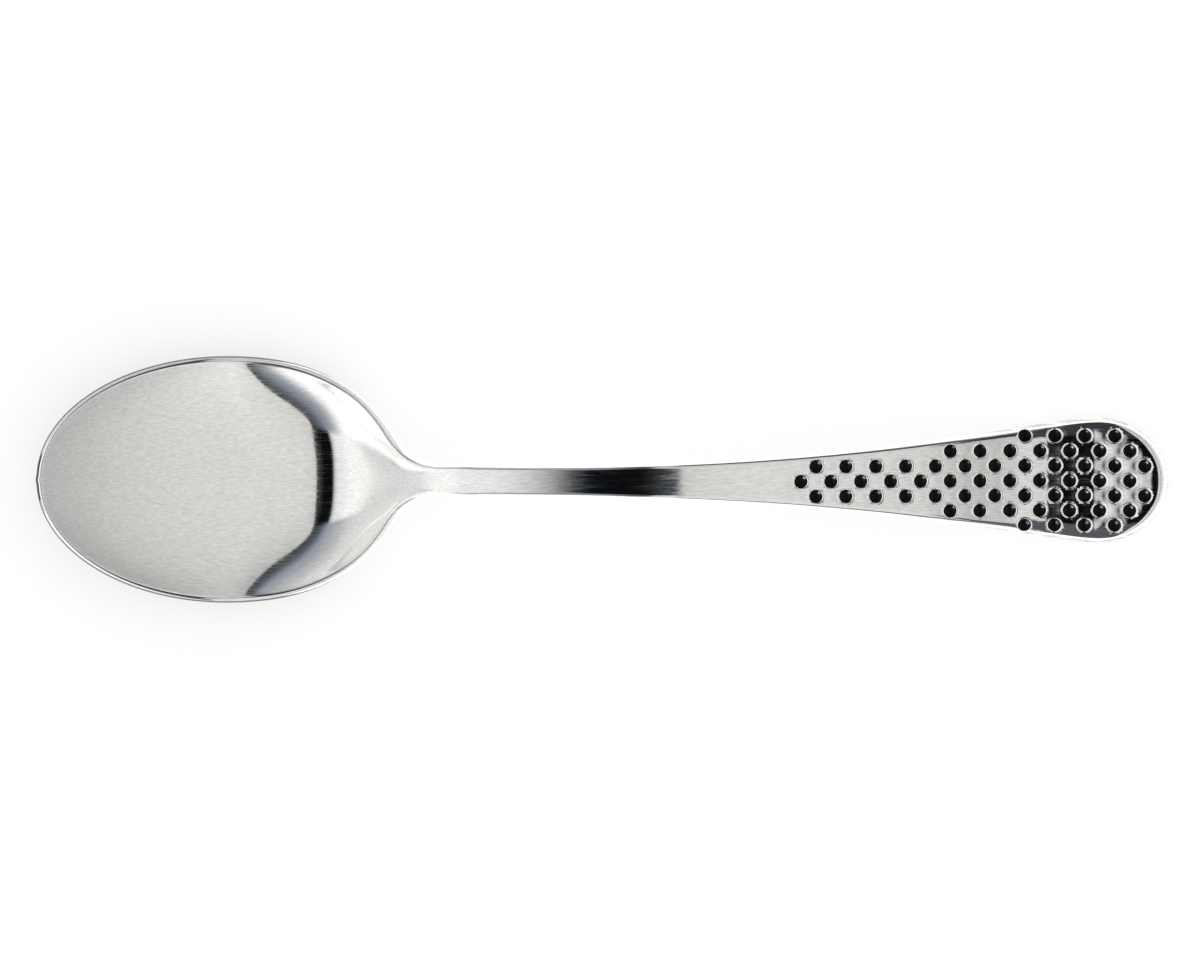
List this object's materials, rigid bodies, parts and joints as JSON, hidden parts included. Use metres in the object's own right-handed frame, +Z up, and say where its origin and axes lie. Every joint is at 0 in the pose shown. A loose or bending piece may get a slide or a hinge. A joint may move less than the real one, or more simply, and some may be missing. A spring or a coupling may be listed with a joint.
{
  "type": "coffee spoon",
  "caption": "Stainless-steel coffee spoon with an oval bowl, a slim neck and a flaring, gently curved handle whose round grip pits hold black enamel.",
  "frame": {"origin": "middle of the spoon's length and width, on the table it lies on", "axes": "+X from the bowl's tip to the end of the handle, +Y across the spoon, +Z up out of the bowl"},
  "size_m": [0.135, 0.0294, 0.0083],
  "materials": {
    "steel": "fine satin, brushed along the spoon",
    "black_enamel": "glossy black, set below the face of the handle"
  },
  "bodies": {
    "root": {"spoon_body": "steel", "enamel_dot_a01": "black_enamel", "enamel_dot_a02": "black_enamel", "enamel_dot_a03": "black_enamel", "enamel_dot_a04": "black_enamel", "enamel_dot_b01": "black_enamel", "enamel_dot_b02": "black_enamel", "enamel_dot_b03": "black_enamel", "enamel_dot_b04": "black_enamel", "enamel_dot_b05": "black_enamel", "enamel_dot_b06": "black_enamel", "enamel_dot_b07": "black_enamel", "enamel_dot_c01": "black_enamel", "enamel_dot_c02": "black_enamel", "enamel_dot_c03": "black_enamel", "enamel_dot_c04": "black_enamel", "enamel_dot_c05": "black_enamel", "enamel_dot_c06": "black_enamel", "enamel_dot_c07": "black_enamel", "enamel_dot_c08": "black_enamel", "enamel_dot_c09": "black_enamel", "enamel_dot_c10": "black_enamel", "enamel_dot_c11": "black_enamel", "enamel_dot_c12": "black_enamel", "enamel_dot_d01": "black_enamel", "enamel_dot_d02": "black_enamel", "enamel_dot_d03": "black_enamel", "enamel_dot_d04": "black_enamel", "enamel_dot_d05": "black_enamel", "enamel_dot_d06": "black_enamel", "enamel_dot_d07": "black_enamel", "enamel_dot_d08": "black_enamel", "enamel_dot_d09": "black_enamel", "enamel_dot_d10": "black_enamel", "enamel_dot_d11": "black_enamel", "enamel_dot_d12": "black_enamel", "enamel_dot_e01": "black_enamel", "enamel_dot_e02": "black_enamel", "enamel_dot_e03": "black_enamel", "enamel_dot_e04": "black_enamel", "enamel_dot_e05": "black_enamel", "enamel_dot_e06": "black_enamel", "enamel_dot_e07": "black_enamel", "enamel_dot_e08": "black_enamel", "enamel_dot_e09": "black_enamel", "enamel_dot_e10": "black_enamel", "enamel_dot_e11": "black_enamel", "enamel_dot_e12": "black_enamel", "enamel_dot_f01": "black_enamel", "enamel_dot_f02": "black_enamel", "enamel_dot_f03": "black_enamel", "enamel_dot_f04": "black_enamel", "enamel_dot_f05": "black_enamel", "enamel_dot_f06": "black_enamel", "enamel_dot_f07": "black_enamel", "enamel_dot_g01": "black_enamel", "enamel_dot_g02": "black_enamel", "enamel_dot_g03": "black_enamel", "enamel_dot_g04": "black_enamel"}
  },
  "joints": []
}
